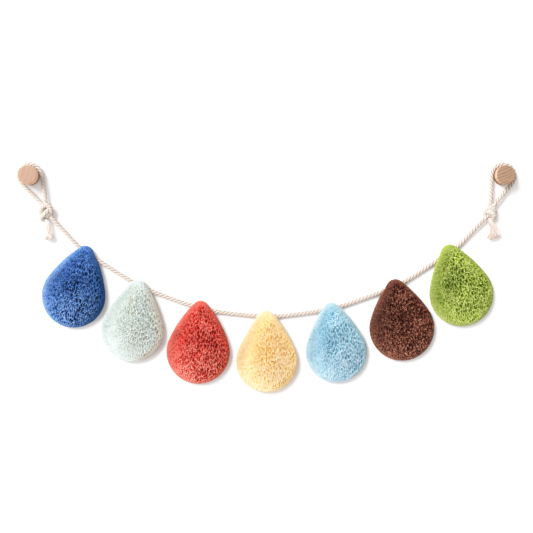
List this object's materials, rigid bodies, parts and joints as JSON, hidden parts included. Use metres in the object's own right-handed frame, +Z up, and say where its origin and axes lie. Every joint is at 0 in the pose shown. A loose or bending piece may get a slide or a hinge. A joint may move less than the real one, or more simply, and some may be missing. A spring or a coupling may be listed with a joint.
{
  "type": "raindrop garland with wall pegs",
  "caption": "Garland of plush cut-pile raindrops on a twisted cotton rope, knotted and looped over two round wooden wall pegs.",
  "frame": {"origin": "middle of the left peg's back face, where it meets the wall", "axes": "+X along the wall from the left peg to the right one, +Y into the wall, +Z up"},
  "size_m": [0.8454, 0.036, 0.3884],
  "materials": {
    "wool_blue": "deep blue cut-pile wool, matt and plush",
    "wool_mint": "pale mint cut-pile wool, matt and plush",
    "wool_coral": "coral red cut-pile wool, matt and plush",
    "wool_yellow": "soft yellow cut-pile wool, matt and plush",
    "wool_sky": "sky blue cut-pile wool, matt and plush",
    "wool_brown": "chocolate brown cut-pile wool, matt and plush",
    "wool_green": "leaf green cut-pile wool, matt and plush",
    "cotton_rope": "natural undyed cotton, three strands twisted, matt",
    "beech": "plain turned beech, sanded smooth, no lacquer"
  },
  "bodies": {
    "root": {"drop_blue": "wool_blue", "drop_mint": "wool_mint", "drop_coral": "wool_coral", "drop_yellow": "wool_yellow", "drop_sky": "wool_sky", "drop_brown": "wool_brown", "drop_green": "wool_green", "rope_span": "cotton_rope", "loop_left": "cotton_rope", "loop_right": "cotton_rope", "knot_left": "cotton_rope", "knot_right": "cotton_rope", "tail_left": "cotton_rope", "tail_right": "cotton_rope", "peg_left": "beech", "peg_right": "beech"}
  },
  "joints": []
}
